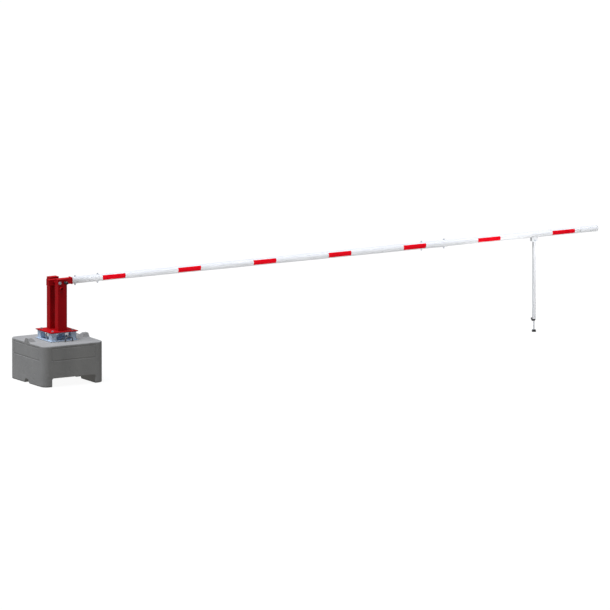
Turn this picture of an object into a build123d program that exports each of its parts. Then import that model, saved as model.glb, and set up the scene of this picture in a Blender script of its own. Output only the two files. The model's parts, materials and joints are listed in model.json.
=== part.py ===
"""Parking barrier gate: a ballast block, an adapter frame, twin posts and a lifting boom.

Units are millimetres. The origin is the middle of the block's footprint on the ground,
+X runs along the closed boom and +Z is up. The lock and the index plunger face -Y.
"""

import math
import os

from build123d import *

# ---- Ballast block ----
BLOCK_SIDE = 800
BLOCK_HEIGHT = 480
BLOCK_CORNER = 80
BLOCK_TOP_EDGE = 15
BLOCK_FOOT_EDGE = 10
TUNNEL_WIDTH = 570
TUNNEL_HEIGHT = 100
TUNNEL_CORNER = 18
PANEL_WIDTH = 586
PANEL_BOTTOM = 300
PANEL_HEIGHT = 150
PANEL_CORNER = 10
GROOVE_WIDTH = 8
GROOVE_DEPTH = 4
NUB_BASE = 114
NUB_TOP = 54
NUB_HEIGHT = 43
NUB_DEPTH = 100
NUB_SLOPE = 45
NUB_EMBED = 20
NOTCH_HEIGHT = 46
NOTCH_SLACK = 6

# ---- Lifting loops ----
LOOP_BAR = 6.5
LOOP_LEFT = -16
LOOP_RIGHT = 84
LOOP_Y = 222
LOOP_TOP = 531
LOOP_BEND = 38
LOOP_EMBED = 90

# ---- Adapter frame and base plate ----
ADAPTER_SIDE = 360
ADAPTER_TOP_SIDE = 330
PLATE_THICK = 8
PLATE_CORNER = 3
ADAPTER_TOP = 580
LEG_SIDE = 70
LEG_WALL = 5
LEG_CORNER = 8
LEG_SPOT = 130
ACCESS_HOLE = 20
ACCESS_DROP = 26
DRAIN_HOLE = 6
DRAIN_INSET = 16
DRAIN_RISE = 9
BASE_SIDE = 360
BASE_THICK = 10
BASE_TOP = ADAPTER_TOP + BASE_THICK
M16 = 8
M16_FLATS = 24
M16_HEAD = 10
M16_NUT = 13
M16_WASHER = 15
M16_WASHER_THICK = 3
STUD_RISE = 33
THREAD_STICK_OUT = 24
BOLT_PLAY = 0.5

# ---- Posts ----
POST_WIDTH = 120
POST_DEPTH = 80
POST_WALL = 4
POST_CORNER = 6
POST_HEIGHT = 600
GAP = 110
LID_THICK = 3
LID_EDGE = 1
POST_TOP = BASE_TOP + POST_HEIGHT
POST_INNER = GAP / 2
POST_OUTER = POST_INNER + POST_DEPTH

# ---- Arm ----
BOOM_Z = 1145
ARM_WIDTH = 60
ARM_HEIGHT = 70
ARM_WALL = 4
ARM_CORNER = 6
ARM_TAIL = -120
ARM_NOSE = 176
TAIL_CAP_THICK = 3
END_PLATE_SIDE = 80
END_PLATE_THICK = 10
END_PLATE_CORNER = 2
END_PLATE_RAISE = 1
PIVOT_X = -38
PIVOT_Z = 1151
AXLE_RADIUS = 10
AXLE_FLATS = 30
AXLE_HEAD = 12.5
AXLE_NUT = 16
AXLE_WASHER = 18.5
AXLE_STICK_OUT = 23
THRUST_WASHER = 20
SLEEVE_RADIUS = 15
RUNNING_GAP = 0.06
SIDE_GAP = 1.9

# ---- Boom ----
BOOM_START = ARM_NOSE + END_PLATE_THICK
MAIN_LENGTH = 5000
MAIN_RADIUS = 40
OUTER_RADIUS = 35
TUBE_WALL = 4
OUTER_REACH = 2000
OVERLAP = 400
MAIN_END = BOOM_START + MAIN_LENGTH
BOOM_END = MAIN_END + OUTER_REACH
SPIGOT_LENGTH = 414
CAP_THICK = 14
CAP_EDGE = 5
CAP_PLUG = 30
BOLT_SPOTS = [BOOM_START + 55, BOOM_START + 352, MAIN_END - 342, MAIN_END - 41]
M12 = 6
M12_FLATS = 18
M12_HEAD = 7.5
M12_NUT = 10
M12_WASHER = 12
M12_WASHER_THICK = 2.5
M12_STICK_OUT = 18
SADDLE_RADIUS = 13
SADDLE_HEIGHT = 4
BAND_LENGTH = 300
BAND_PITCH = 1000
BAND_FIRST = BOOM_START + 400
BAND_COUNT = 7
BAND_HALF_ANGLE = 43
FILM = 0.3

# ---- Index plunger ----
PLUNGER_X = 28
PLUNGER_Z = 1154
PLUNGER_PIN = 5
PLUNGER_TIP = -36
PLUNGER_COLLAR = 8.2
PLUNGER_COLLAR_Y = -100
HOUSING_START = -80
HOUSING_RADIUS = 10
HOUSING_BORE = 8.5
HOUSING_BORE_DEPTH = 50
HOUSING_HEAD = 14
HOUSING_HEAD_THICK = 8
SPRING_PITCH = 3.2
SPRING_COIL = 6.6
SPRING_WIRE = 0.6
KNOB_Y = -180
KNOB_RADIUS = 20
KNOB_FLAT = 17
KNOB_NECK = 9
SLIDING_GAP = 0.1
GUIDE_GAP = 0.2

# ---- Triangular-key lock ----
LOCK_X = -24
LOCK_Z = 1086
LOCK_BOLT_Z = 1127
LOCK_BOLT_RADIUS = 6
LOCK_TIP = -40
LOCK_SCREWS_Z = [1044, 1117]
SCREW_RADIUS = 3
SCREW_HEAD = 4.6
SCREW_HEAD_HEIGHT = 2.6
SCREW_SOCKET = 1.6
KEY_SLEEVE_OUTER = 19
KEY_SLEEVE_INNER = 15
KEY_SLEEVE_LENGTH = 30
KEY_RADIUS = 7
KEY_LENGTH = 20
CORE_NECK = 8
CORE_RADIUS = 10
CASE_BOTTOM = 1032
CASE_TOP = 1138
CASE_BACK = -62
CASE_WIDTH = 44
CASE_WALL = 3
YOKE_Y = -90
YOKE_THICK = 5
YOKE_WIDTH = 30

# ---- Gas spring ----
SPRING_FOOT = (5, 0, 645)
SPRING_HEAD = (12, 0, 1069)
SPRING_AXIS = (SPRING_HEAD[0] - SPRING_FOOT[0], 0, SPRING_HEAD[2] - SPRING_FOOT[2])
SPRING_LENGTH = math.hypot(*SPRING_AXIS)
CYLINDER_RADIUS = 14
CYLINDER_END = 330
ROD_RADIUS = 7
EYE_RADIUS = 11
EYE_WIDTH = 20
EYE_NECK = 9
PIN_RADIUS = 5
CYLINDER_START = 20
CYLINDER_FLOOR = 34
CYLINDER_WALL = 2
GUIDE_LENGTH = 14
PISTON_START = 50
PISTON_LENGTH = 14
PISTON_GAP = 0.08
ROD_TO_HEAD = 16
BRACKET_FOOT = 60
EAR_WIDTH = 32
EAR_THICK = 6
EAR_STARTS = (17, -11)
LUG_GAP = 28
LUG_THICK = 6
LUG_MARGIN = 8
SLOT_RADIUS = 11.5
SLOT_SHARE = 0.305

# ---- Stops ----
STOP_WIDTH = 18
STOP_DEPTH = 20
OPEN_STOP_DEPTH = 14
STOP_REACH = 26
CLOSED_STOP_X = 49
PAD_THICK = 6
PAD_GAP = 0.3
OPEN_STOP_Z = 1076

# ---- Pendulum leg ----
LEG_X = 6355
LEG_PIVOT_Z = 1078
PROP_SIDE = 30
PROP_WALL = 2
PROP_TOP = LEG_PIVOT_Z + 16
PROP_BOTTOM = 150
PLUG_FLANGE = 12
PLUG_LENGTH = 40
PLUG_PLAY = 0.1
PROP_CORNER = 3
BUSH_RADIUS = 7
LEG_BOLT = 5
LEG_BOLT_FLATS = 16
LEG_BOLT_HEAD = 6.4
LEG_BOLT_NUT = 8
LEG_WASHER = 10
LEG_WASHER_THICK = 2
LEG_SIDE_GAP = 0.3
BRACKET_LENGTH = 80
BRACKET_BOTTOM = 1065
BRACKET_INNER = 18
BRACKET_WALL = 4
BRACKET_WEB = 1104
SPINDLE_RADIUS = 6
HUB_BOTTOM = 127
HUB_RADIUS = 11
HUB_GAP = 0.3
GRIP_WIDTH = 14
FOOT_RADIUS = 25
FOOT_HEIGHT = 25
FOOT_TAPER = 4
FOOT_EDGE = 3
SPINDLE_START = 8
SPINDLE_END = 300


def facing_front(y):
    """A plane across Y at the given place: its x is +X, its y is +Z and it looks to -Y."""
    return Plane(origin=(0, y, 0), x_dir=(1, 0, 0), z_dir=(0, -1, 0))


def across_boom(x):
    """A plane across X at the given place: its x is +Y, its y is +Z and it looks to +X."""
    return Plane.YZ.offset(x)


def bars(plane, spots, radius, length, mode=Mode.ADD):
    """Round bars of one size, standing on the plane at each spot."""
    with BuildSketch(plane) as profile:
        with Locations(*spots):
            Circle(radius)
    extrude(profile.sketch, amount=length, mode=mode)


def rings(plane, spots, outer, inner, length):
    """Flat rings or tubes, standing on the plane at each spot."""
    with BuildSketch(plane) as profile:
        with Locations(*spots):
            Circle(outer)
            Circle(inner, mode=Mode.SUBTRACT)
    extrude(profile.sketch, amount=length)


def hexes(plane, spots, flats, length, bore=0):
    """Hexagon heads, or nuts where a bore is given, standing on the plane at each spot."""
    with BuildSketch(plane) as profile:
        with Locations(*spots):
            RegularPolygon(flats / 2, 6, major_radius=False)
            if bore:
                Circle(bore, mode=Mode.SUBTRACT)
    extrude(profile.sketch, amount=length)


def tubes(plane, spots, width, height, wall, corner, length):
    """Rectangular hollow sections, standing on the plane at each spot."""
    with BuildSketch(plane) as profile:
        with Locations(*spots):
            RectangleRounded(width, height, corner)
            RectangleRounded(
                width - 2 * wall, height - 2 * wall, max(corner - wall, 1), mode=Mode.SUBTRACT
            )
    extrude(profile.sketch, amount=length)


def save(builder, label):
    """Names the finished sub-part and writes it to its own file."""
    builder.part.label = label
    export_step(builder.part, f"parts/{label}.step")


os.makedirs("parts", exist_ok=True)

# ==== Ballast block ====

loop_legs = [(x, y) for x in (LOOP_LEFT, LOOP_RIGHT) for y in (-LOOP_Y, LOOP_Y)]
stud_spots = [(LEG_SPOT, 0), (-LEG_SPOT, 0), (0, LEG_SPOT), (0, -LEG_SPOT)]
corner_spots = [(x, y) for x in (-LEG_SPOT, LEG_SPOT) for y in (-LEG_SPOT, LEG_SPOT)]

with BuildPart() as concrete_block:
    with BuildSketch():
        RectangleRounded(BLOCK_SIDE, BLOCK_SIDE, BLOCK_CORNER)
    extrude(amount=BLOCK_HEIGHT)
    fillet(concrete_block.faces().sort_by(Axis.Z)[-1].edges(), BLOCK_TOP_EDGE)
    fillet(concrete_block.faces().sort_by(Axis.Z)[0].edges(), BLOCK_FOOT_EDGE)
    # The tunnel for a lifting truck's forks runs from front to back. Its lower half is below ground.
    with BuildSketch(facing_front(BLOCK_SIDE / 2)):
        RectangleRounded(TUNNEL_WIDTH, 2 * TUNNEL_HEIGHT, TUNNEL_CORNER)
    extrude(amount=BLOCK_SIDE, mode=Mode.SUBTRACT)
    # A shallow groove outlines a panel on each side.
    for turn in range(4):
        side = Plane.XY.rotated((0, 0, 90 * turn))
        face = Plane(
            origin=side.from_local_coords(Vector(0, -BLOCK_SIDE / 2, 0)),
            x_dir=side.x_dir,
            z_dir=side.y_dir,
        )
        with BuildSketch(face):
            with Locations((0, -(PANEL_BOTTOM + PANEL_HEIGHT / 2))):
                RectangleRounded(PANEL_WIDTH, PANEL_HEIGHT, PANEL_CORNER)
                RectangleRounded(
                    PANEL_WIDTH - 2 * GROOVE_WIDTH,
                    PANEL_HEIGHT - 2 * GROOVE_WIDTH,
                    PANEL_CORNER - GROOVE_WIDTH,
                    mode=Mode.SUBTRACT,
                )
        extrude(amount=GROOVE_DEPTH, mode=Mode.SUBTRACT)
    # Nubs on top fit the notches of a block stacked above.
    for end in (-1, 1):
        inner = min(end * BLOCK_SIDE / 2, end * (BLOCK_SIDE / 2 - NUB_DEPTH))
        with BuildSketch(across_boom(inner)):
            with BuildLine():
                Polyline(
                    (-NUB_BASE / 2, BLOCK_HEIGHT - NUB_EMBED),
                    (-NUB_BASE / 2, BLOCK_HEIGHT),
                    (-NUB_TOP / 2, BLOCK_HEIGHT + NUB_HEIGHT),
                    (NUB_TOP / 2, BLOCK_HEIGHT + NUB_HEIGHT),
                    (NUB_BASE / 2, BLOCK_HEIGHT),
                    (NUB_BASE / 2, BLOCK_HEIGHT - NUB_EMBED),
                    close=True,
                )
            make_face()
        extrude(amount=NUB_DEPTH)
        # The inner end slopes down to the top of the block.
        inner_x = end * (BLOCK_SIDE / 2 - NUB_DEPTH)
        with BuildSketch(facing_front(NUB_BASE / 2)):
            with BuildLine():
                Polyline(
                    (inner_x, BLOCK_HEIGHT),
                    (inner_x + end * NUB_SLOPE, BLOCK_HEIGHT + NUB_HEIGHT),
                    (inner_x, BLOCK_HEIGHT + NUB_HEIGHT),
                    close=True,
                )
            make_face()
        extrude(amount=NUB_BASE, mode=Mode.SUBTRACT)
        foot_depth = (BLOCK_SIDE - TUNNEL_WIDTH) / 2 + 1
        outer = min(end * (BLOCK_SIDE / 2), end * (BLOCK_SIDE / 2 - foot_depth))
        with BuildSketch(across_boom(outer)):
            with BuildLine():
                Polyline(
                    (-NUB_BASE / 2, 0),
                    (-NUB_TOP / 2 - NOTCH_SLACK, NOTCH_HEIGHT),
                    (NUB_TOP / 2 + NOTCH_SLACK, NOTCH_HEIGHT),
                    (NUB_BASE / 2, 0),
                    close=True,
                )
            make_face()
        extrude(amount=foot_depth, mode=Mode.SUBTRACT)
    top = Plane.XY.offset(BLOCK_HEIGHT)
    bars(top, loop_legs, LOOP_BAR, -LOOP_EMBED, Mode.SUBTRACT)
    bars(top, stud_spots, M16, -LOOP_EMBED, Mode.SUBTRACT)
save(concrete_block, "concrete_block")

with BuildPart() as lifting_loops:
    for y in (-LOOP_Y, LOOP_Y):
        with BuildLine():
            FilletPolyline(
                (LOOP_LEFT, y, BLOCK_HEIGHT - LOOP_EMBED),
                (LOOP_LEFT, y, LOOP_TOP),
                (LOOP_RIGHT, y, LOOP_TOP),
                (LOOP_RIGHT, y, BLOCK_HEIGHT - LOOP_EMBED),
                radius=LOOP_BEND,
            )
        with BuildSketch(Plane.XY.offset(BLOCK_HEIGHT - LOOP_EMBED)):
            with Locations((LOOP_LEFT, y)):
                Circle(LOOP_BAR)
        sweep()
save(lifting_loops, "lifting_loops")

# ==== Adapter frame ====

adapter_floor = BLOCK_HEIGHT + PLATE_THICK
adapter_roof = ADAPTER_TOP - PLATE_THICK

with BuildPart() as adapter_bottom_plate:
    with BuildSketch(Plane.XY.offset(BLOCK_HEIGHT)):
        RectangleRounded(ADAPTER_SIDE, ADAPTER_SIDE, PLATE_CORNER)
        with Locations(*stud_spots):
            Circle(M16 + BOLT_PLAY, mode=Mode.SUBTRACT)
    extrude(amount=PLATE_THICK)
save(adapter_bottom_plate, "adapter_bottom_plate")

with BuildPart() as adapter_legs:
    tubes(
        Plane.XY.offset(adapter_floor),
        corner_spots,
        LEG_SIDE,
        LEG_SIDE,
        LEG_WALL,
        LEG_CORNER,
        adapter_roof - adapter_floor,
    )
    # A spanner reaches the nuts through a round hole in the inner wall of each leg.
    inner_wall = LEG_SPOT - LEG_SIDE / 2
    access_z = adapter_roof - ACCESS_DROP
    bars(
        across_boom(-inner_wall - LEG_WALL - 1),
        [(-LEG_SPOT, access_z), (LEG_SPOT, access_z)],
        ACCESS_HOLE,
        2 * (inner_wall + LEG_WALL + 1),
        Mode.SUBTRACT,
    )
    # Molten zinc drains through small holes at the bottom of the front and back walls.
    drain_spots = [(end * (inner_wall + DRAIN_INSET), adapter_floor + DRAIN_RISE) for end in (-1, 1)]
    bars(facing_front(-LEG_SPOT), drain_spots, DRAIN_HOLE, LEG_SIDE, Mode.SUBTRACT)
    bars(facing_front(LEG_SPOT + LEG_SIDE), drain_spots, DRAIN_HOLE, LEG_SIDE, Mode.SUBTRACT)
save(adapter_legs, "adapter_legs")

with BuildPart() as adapter_top_plate:
    with BuildSketch(Plane.XY.offset(adapter_roof)):
        RectangleRounded(ADAPTER_TOP_SIDE, ADAPTER_TOP_SIDE, PLATE_CORNER)
        with Locations(*corner_spots):
            Circle(M16 + BOLT_PLAY, mode=Mode.SUBTRACT)
    extrude(amount=PLATE_THICK)
save(adapter_top_plate, "adapter_top_plate")

with BuildPart() as anchor_studs:
    bars(Plane.XY.offset(BLOCK_HEIGHT - LOOP_EMBED), stud_spots, M16, LOOP_EMBED + STUD_RISE)
    chamfer(anchor_studs.edges().group_by(Axis.Z)[-1], 1.5)
save(anchor_studs, "anchor_studs")

with BuildPart() as m16_washers:
    under_roof = adapter_roof - M16_WASHER_THICK
    rings(Plane.XY.offset(adapter_floor), stud_spots, M16_WASHER, M16, M16_WASHER_THICK)
    rings(Plane.XY.offset(BASE_TOP), corner_spots, M16_WASHER, M16, M16_WASHER_THICK)
    rings(Plane.XY.offset(under_roof), corner_spots, M16_WASHER, M16, M16_WASHER_THICK)
save(m16_washers, "m16_washers")

with BuildPart() as m16_nuts:
    hexes(Plane.XY.offset(adapter_floor + M16_WASHER_THICK), stud_spots, M16_FLATS, M16_NUT, M16)
    hexes(Plane.XY.offset(under_roof - M16_NUT), corner_spots, M16_FLATS, M16_NUT, M16)
save(m16_nuts, "m16_nuts")

# ==== Base plate and its bolts ====

with BuildPart() as base_plate:
    with BuildSketch(Plane.XY.offset(ADAPTER_TOP)):
        Rectangle(BASE_SIDE, BASE_SIDE)
        with Locations(*corner_spots):
            Circle(M16 + BOLT_PLAY, mode=Mode.SUBTRACT)
    extrude(amount=BASE_THICK)
save(base_plate, "base_plate")

with BuildPart() as base_bolts:
    under_head = Plane.XY.offset(BASE_TOP + M16_WASHER_THICK)
    bars(under_head, corner_spots, M16, -(BASE_THICK + PLATE_THICK + THREAD_STICK_OUT))
    hexes(under_head, corner_spots, M16_FLATS, M16_HEAD)
    chamfer(base_bolts.edges().group_by(Axis.Z)[-1], 1)
save(base_bolts, "base_bolts")

# ==== Posts ====


def post_tube(middle_y):
    """One upright hollow section, with the hole for the pivot axle through both walls."""
    tubes(
        Plane.XY.offset(BASE_TOP),
        [(0, middle_y)],
        POST_WIDTH,
        POST_DEPTH,
        POST_WALL,
        POST_CORNER,
        POST_HEIGHT,
    )
    start = facing_front(middle_y + POST_DEPTH / 2 + 1)
    bars(start, [(PIVOT_X, PIVOT_Z)], AXLE_RADIUS, POST_DEPTH + 2, Mode.SUBTRACT)


post_middle = (POST_INNER + POST_OUTER) / 2
outer_wall = facing_front(-POST_OUTER + POST_WALL + 1)
inner_wall_plane = facing_front(-POST_INNER + 1)

with BuildPart() as front_post:
    post_tube(-post_middle)
    wall_cut = POST_WALL + 2
    bars(outer_wall, [(PLUNGER_X, PLUNGER_Z)], HOUSING_RADIUS, wall_cut, Mode.SUBTRACT)
    bars(inner_wall_plane, [(PLUNGER_X, PLUNGER_Z)], PLUNGER_PIN + GUIDE_GAP, wall_cut, Mode.SUBTRACT)
    bars(outer_wall, [(LOCK_X, LOCK_Z)], CORE_NECK + GUIDE_GAP, wall_cut, Mode.SUBTRACT)
    bars(inner_wall_plane, [(LOCK_X, LOCK_BOLT_Z)], LOCK_BOLT_RADIUS + GUIDE_GAP, wall_cut, Mode.SUBTRACT)
    bars(outer_wall, [(LOCK_X, z) for z in LOCK_SCREWS_Z], SCREW_RADIUS, wall_cut, Mode.SUBTRACT)
save(front_post, "front_post")

with BuildPart() as back_post:
    post_tube(post_middle)
save(back_post, "back_post")

with BuildPart() as post_lids:
    with BuildSketch(Plane.XY.offset(POST_TOP)):
        with Locations((0, post_middle), (0, -post_middle)):
            RectangleRounded(POST_WIDTH, POST_DEPTH, POST_CORNER)
    extrude(amount=LID_THICK)
    fillet(post_lids.faces().filter_by(Axis.Z).group_by(Axis.Z)[-1].edges(), LID_EDGE)
save(post_lids, "post_lids")

# Rubber-faced blocks on the inner faces of the posts stop the arm, and leave the middle free.
stop_length = POST_INNER - STOP_REACH
stop_middle = POST_INNER - stop_length / 2
arm_bottom = BOOM_Z - ARM_HEIGHT / 2
raised_face_x = PIVOT_X + PIVOT_Z - arm_bottom

with BuildPart() as stop_blocks:
    for middle in (-stop_middle, stop_middle):
        with Locations((CLOSED_STOP_X, middle, arm_bottom - PAD_GAP - PAD_THICK)):
            Box(STOP_WIDTH, stop_length, STOP_DEPTH, align=(Align.CENTER, Align.CENTER, Align.MAX))
        with Locations((raised_face_x + PAD_GAP + PAD_THICK, middle, OPEN_STOP_Z)):
            Box(OPEN_STOP_DEPTH, stop_length, STOP_WIDTH, align=(Align.MIN, Align.CENTER, Align.CENTER))
save(stop_blocks, "stop_blocks")

with BuildPart() as stop_pads:
    for middle in (-stop_middle, stop_middle):
        with Locations((CLOSED_STOP_X, middle, arm_bottom - PAD_GAP)):
            Box(STOP_WIDTH, stop_length, PAD_THICK, align=(Align.CENTER, Align.CENTER, Align.MAX))
        with Locations((raised_face_x + PAD_GAP, middle, OPEN_STOP_Z)):
            Box(PAD_THICK, stop_length, STOP_WIDTH, align=(Align.MIN, Align.CENTER, Align.CENTER))
save(stop_pads, "stop_pads")

# ==== Pivot axle ====

pivot = [(PIVOT_X, PIVOT_Z)]

with BuildPart() as pivot_axle:
    axle_length = AXLE_STICK_OUT + 2 * POST_OUTER + M16_WASHER_THICK
    bars(facing_front(POST_OUTER + AXLE_STICK_OUT), pivot, AXLE_RADIUS, axle_length)
    hexes(facing_front(-POST_OUTER - M16_WASHER_THICK), pivot, AXLE_FLATS, AXLE_HEAD)
    chamfer(pivot_axle.edges().group_by(Axis.Y)[0], 1.2)
save(pivot_axle, "pivot_axle")

with BuildPart() as axle_washers:
    back_washer = POST_OUTER + M16_WASHER_THICK
    rings(facing_front(-POST_OUTER), pivot, AXLE_WASHER, AXLE_RADIUS, M16_WASHER_THICK)
    rings(facing_front(back_washer), pivot, AXLE_WASHER, AXLE_RADIUS, M16_WASHER_THICK)
save(axle_washers, "axle_washers")

with BuildPart() as axle_nut:
    hexes(facing_front(back_washer + AXLE_NUT), pivot, AXLE_FLATS, AXLE_NUT, AXLE_RADIUS)
save(axle_nut, "axle_nut")

sleeve_end = POST_INNER - SIDE_GAP

with BuildPart() as thrust_washers:
    washer_thick = SIDE_GAP - GUIDE_GAP
    rings(facing_front(POST_INNER), pivot, THRUST_WASHER, AXLE_RADIUS, washer_thick)
    rings(facing_front(-sleeve_end - GUIDE_GAP), pivot, THRUST_WASHER, AXLE_RADIUS, washer_thick)
save(thrust_washers, "thrust_washers")

with BuildPart() as pivot_sleeve:
    rings(facing_front(sleeve_end), pivot, SLEEVE_RADIUS, AXLE_RADIUS + RUNNING_GAP, 2 * sleeve_end)
save(pivot_sleeve, "pivot_sleeve")

# ==== Arm ====

# The lock's bolt enters one hole with the boom closed and the other with it raised.
bolt_hole_closed = (LOCK_X, LOCK_BOLT_Z)
bolt_hole_raised = (
    PIVOT_X + (LOCK_BOLT_Z - PIVOT_Z),
    PIVOT_Z - (LOCK_X - PIVOT_X),
)

arm_length = ARM_NOSE - ARM_TAIL

with BuildPart() as arm_tube:
    tubes(
        across_boom(ARM_TAIL), [(0, BOOM_Z)], ARM_WIDTH, ARM_HEIGHT, ARM_WALL, ARM_CORNER, arm_length
    )
    far_side = facing_front(ARM_WIDTH / 2 + 1)
    bars(far_side, pivot, SLEEVE_RADIUS, ARM_WIDTH + 2, Mode.SUBTRACT)
    near_wall = facing_front(-ARM_WIDTH / 2 + ARM_WALL + 1)
    near_cut = ARM_WALL + 2
    bolt_holes = [bolt_hole_closed, bolt_hole_raised]
    bars(near_wall, bolt_holes, LOCK_BOLT_RADIUS + BOLT_PLAY, near_cut, Mode.SUBTRACT)
    bars(near_wall, [(PLUNGER_X, PLUNGER_Z)], PLUNGER_PIN + BOLT_PLAY, near_cut, Mode.SUBTRACT)
save(arm_tube, "arm_tube")

with BuildPart() as arm_tail_cap:
    with BuildSketch(across_boom(ARM_TAIL - TAIL_CAP_THICK)):
        with Locations((0, BOOM_Z)):
            RectangleRounded(ARM_WIDTH, ARM_HEIGHT, ARM_CORNER)
    extrude(amount=TAIL_CAP_THICK)
save(arm_tail_cap, "arm_tail_cap")

with BuildPart() as arm_end_plate:
    with BuildSketch(across_boom(ARM_NOSE)):
        with Locations((0, BOOM_Z + END_PLATE_RAISE)):
            RectangleRounded(END_PLATE_SIDE, END_PLATE_SIDE, END_PLATE_CORNER)
    extrude(amount=END_PLATE_THICK)
save(arm_end_plate, "arm_end_plate")

boom_axis = [(0, BOOM_Z)]


def upright_holes(spots):
    """Clears the through-bolts' holes out of the boom's tubes."""
    start = Plane.XY.offset(BOOM_Z - MAIN_RADIUS - 1)
    bars(start, [(x, 0) for x in spots], M12 + GUIDE_GAP, 2 * MAIN_RADIUS + 2, Mode.SUBTRACT)


with BuildPart() as boom_spigot:
    inner = OUTER_RADIUS - TUBE_WALL
    rings(across_boom(BOOM_START), boom_axis, OUTER_RADIUS, inner, SPIGOT_LENGTH)
    upright_holes(BOLT_SPOTS[:2])
save(boom_spigot, "boom_spigot")

# ==== Boom ====

with BuildPart() as boom_main_tube:
    rings(across_boom(BOOM_START), boom_axis, MAIN_RADIUS, MAIN_RADIUS - TUBE_WALL, MAIN_LENGTH)
    upright_holes(BOLT_SPOTS)
save(boom_main_tube, "boom_main_tube")

with BuildPart() as boom_outer_tube:
    rings(
        across_boom(MAIN_END - OVERLAP),
        boom_axis,
        OUTER_RADIUS,
        OUTER_RADIUS - TUBE_WALL,
        OVERLAP + OUTER_REACH,
    )
    upright_holes(BOLT_SPOTS[2:])
save(boom_outer_tube, "boom_outer_tube")

with BuildPart() as boom_end_cap:
    bars(across_boom(BOOM_END), boom_axis, OUTER_RADIUS, CAP_THICK)
    fillet(boom_end_cap.edges().group_by(Axis.X)[-1], CAP_EDGE)
    bars(across_boom(BOOM_END), boom_axis, OUTER_RADIUS - TUBE_WALL - SLIDING_GAP, -CAP_PLUG)
save(boom_end_cap, "boom_end_cap")

with BuildPart() as reflective_bands:
    for number in range(BAND_COUNT):
        start = BAND_FIRST + number * BAND_PITCH
        radius = MAIN_RADIUS if start < MAIN_END else OUTER_RADIUS
        for side in (180, 0):
            with BuildSketch(across_boom(start)):
                with BuildLine():
                    sweep_from = side - BAND_HALF_ANGLE
                    inner_arc = CenterArc((0, BOOM_Z), radius, sweep_from, 2 * BAND_HALF_ANGLE)
                    outer_arc = CenterArc((0, BOOM_Z), radius + FILM, sweep_from, 2 * BAND_HALF_ANGLE)
                    Line(inner_arc @ 0, outer_arc @ 0)
                    Line(inner_arc @ 1, outer_arc @ 1)
                make_face()
            extrude(amount=BAND_LENGTH)
save(reflective_bands, "reflective_bands")

# Each through-bolt sits on curved saddles above and below the tube.
bolt_points = [(x, 0) for x in BOLT_SPOTS]
boom_crown = BOOM_Z + MAIN_RADIUS
boom_belly = BOOM_Z - MAIN_RADIUS

with BuildPart() as boom_saddles:
    with BuildSketch(Plane.XY.offset(boom_belly - SADDLE_HEIGHT)):
        with Locations(*bolt_points):
            Circle(SADDLE_RADIUS)
            Circle(M12, mode=Mode.SUBTRACT)
    extrude(amount=2 * (MAIN_RADIUS + SADDLE_HEIGHT))
    bars(across_boom(BOOM_START), boom_axis, MAIN_RADIUS, MAIN_LENGTH, Mode.SUBTRACT)
save(boom_saddles, "boom_saddles")

with BuildPart() as boom_washers:
    lower_washer = boom_belly - SADDLE_HEIGHT - M12_WASHER_THICK
    for height in (boom_crown + SADDLE_HEIGHT, lower_washer):
        rings(Plane.XY.offset(height), bolt_points, M12_WASHER, M12, M12_WASHER_THICK)
save(boom_washers, "boom_washers")

with BuildPart() as boom_bolts:
    head_z = boom_crown + SADDLE_HEIGHT + M12_WASHER_THICK
    shank = 2 * (MAIN_RADIUS + SADDLE_HEIGHT) + M12_STICK_OUT
    bars(Plane.XY.offset(head_z), bolt_points, M12, -shank)
    hexes(Plane.XY.offset(head_z), bolt_points, M12_FLATS, M12_HEAD)
    chamfer(boom_bolts.edges().group_by(Axis.Z)[-1], 0.8)
save(boom_bolts, "boom_bolts")

with BuildPart() as boom_nuts:
    hexes(Plane.XY.offset(lower_washer - M12_NUT), bolt_points, M12_FLATS, M12_NUT, M12)
save(boom_nuts, "boom_nuts")

# ==== Index plunger ====

plunger = [(PLUNGER_X, PLUNGER_Z)]

with BuildPart() as plunger_housing:
    pin_bore = PLUNGER_PIN + SLIDING_GAP
    bore_end = HOUSING_START - HOUSING_BORE_DEPTH
    rings(facing_front(-POST_OUTER), plunger, HOUSING_HEAD, pin_bore, HOUSING_HEAD_THICK)
    bars(facing_front(HOUSING_START), plunger, HOUSING_RADIUS, POST_OUTER + HOUSING_START)
    bars(facing_front(HOUSING_START), plunger, HOUSING_BORE, HOUSING_BORE_DEPTH, Mode.SUBTRACT)
    bars(facing_front(bore_end), plunger, pin_bore, POST_OUTER, Mode.SUBTRACT)
    chamfer(plunger_housing.edges().group_by(Axis.Y)[0], 1)
save(plunger_housing, "plunger_housing")

with BuildPart() as plunger_spring:
    with BuildLine() as coil:
        Helix(
            SPRING_PITCH,
            7 * SPRING_PITCH,
            SPRING_COIL,
            center=(PLUNGER_X, PLUNGER_COLLAR_Y - 5, PLUNGER_Z),
            direction=(0, -1, 0),
        )
    with BuildSketch(coil.line ^ 0):
        Circle(SPRING_WIRE)
    sweep(is_frenet=True)
save(plunger_spring, "plunger_spring")

with BuildPart() as plunger_pin:
    bars(facing_front(PLUNGER_TIP), plunger, PLUNGER_PIN, -KNOB_Y + PLUNGER_TIP)
    bars(facing_front(PLUNGER_COLLAR_Y), plunger, PLUNGER_COLLAR, 4)
    chamfer(plunger_pin.edges().group_by(Axis.Y)[-1], 1.5)
save(plunger_pin, "plunger_pin")

with BuildPart() as plunger_knob:
    with Locations((PLUNGER_X, KNOB_Y, PLUNGER_Z)):
        Sphere(KNOB_RADIUS)
    split(bisect_by=facing_front(KNOB_Y + KNOB_FLAT), keep=Keep.TOP)
    bars(facing_front(KNOB_Y + KNOB_FLAT + 4), plunger, KNOB_NECK, 6)
    bars(facing_front(KNOB_Y + KNOB_FLAT + 8), plunger, PLUNGER_PIN, KNOB_FLAT + 8, Mode.SUBTRACT)
save(plunger_knob, "plunger_knob")

# ==== Triangular-key lock ====

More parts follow.
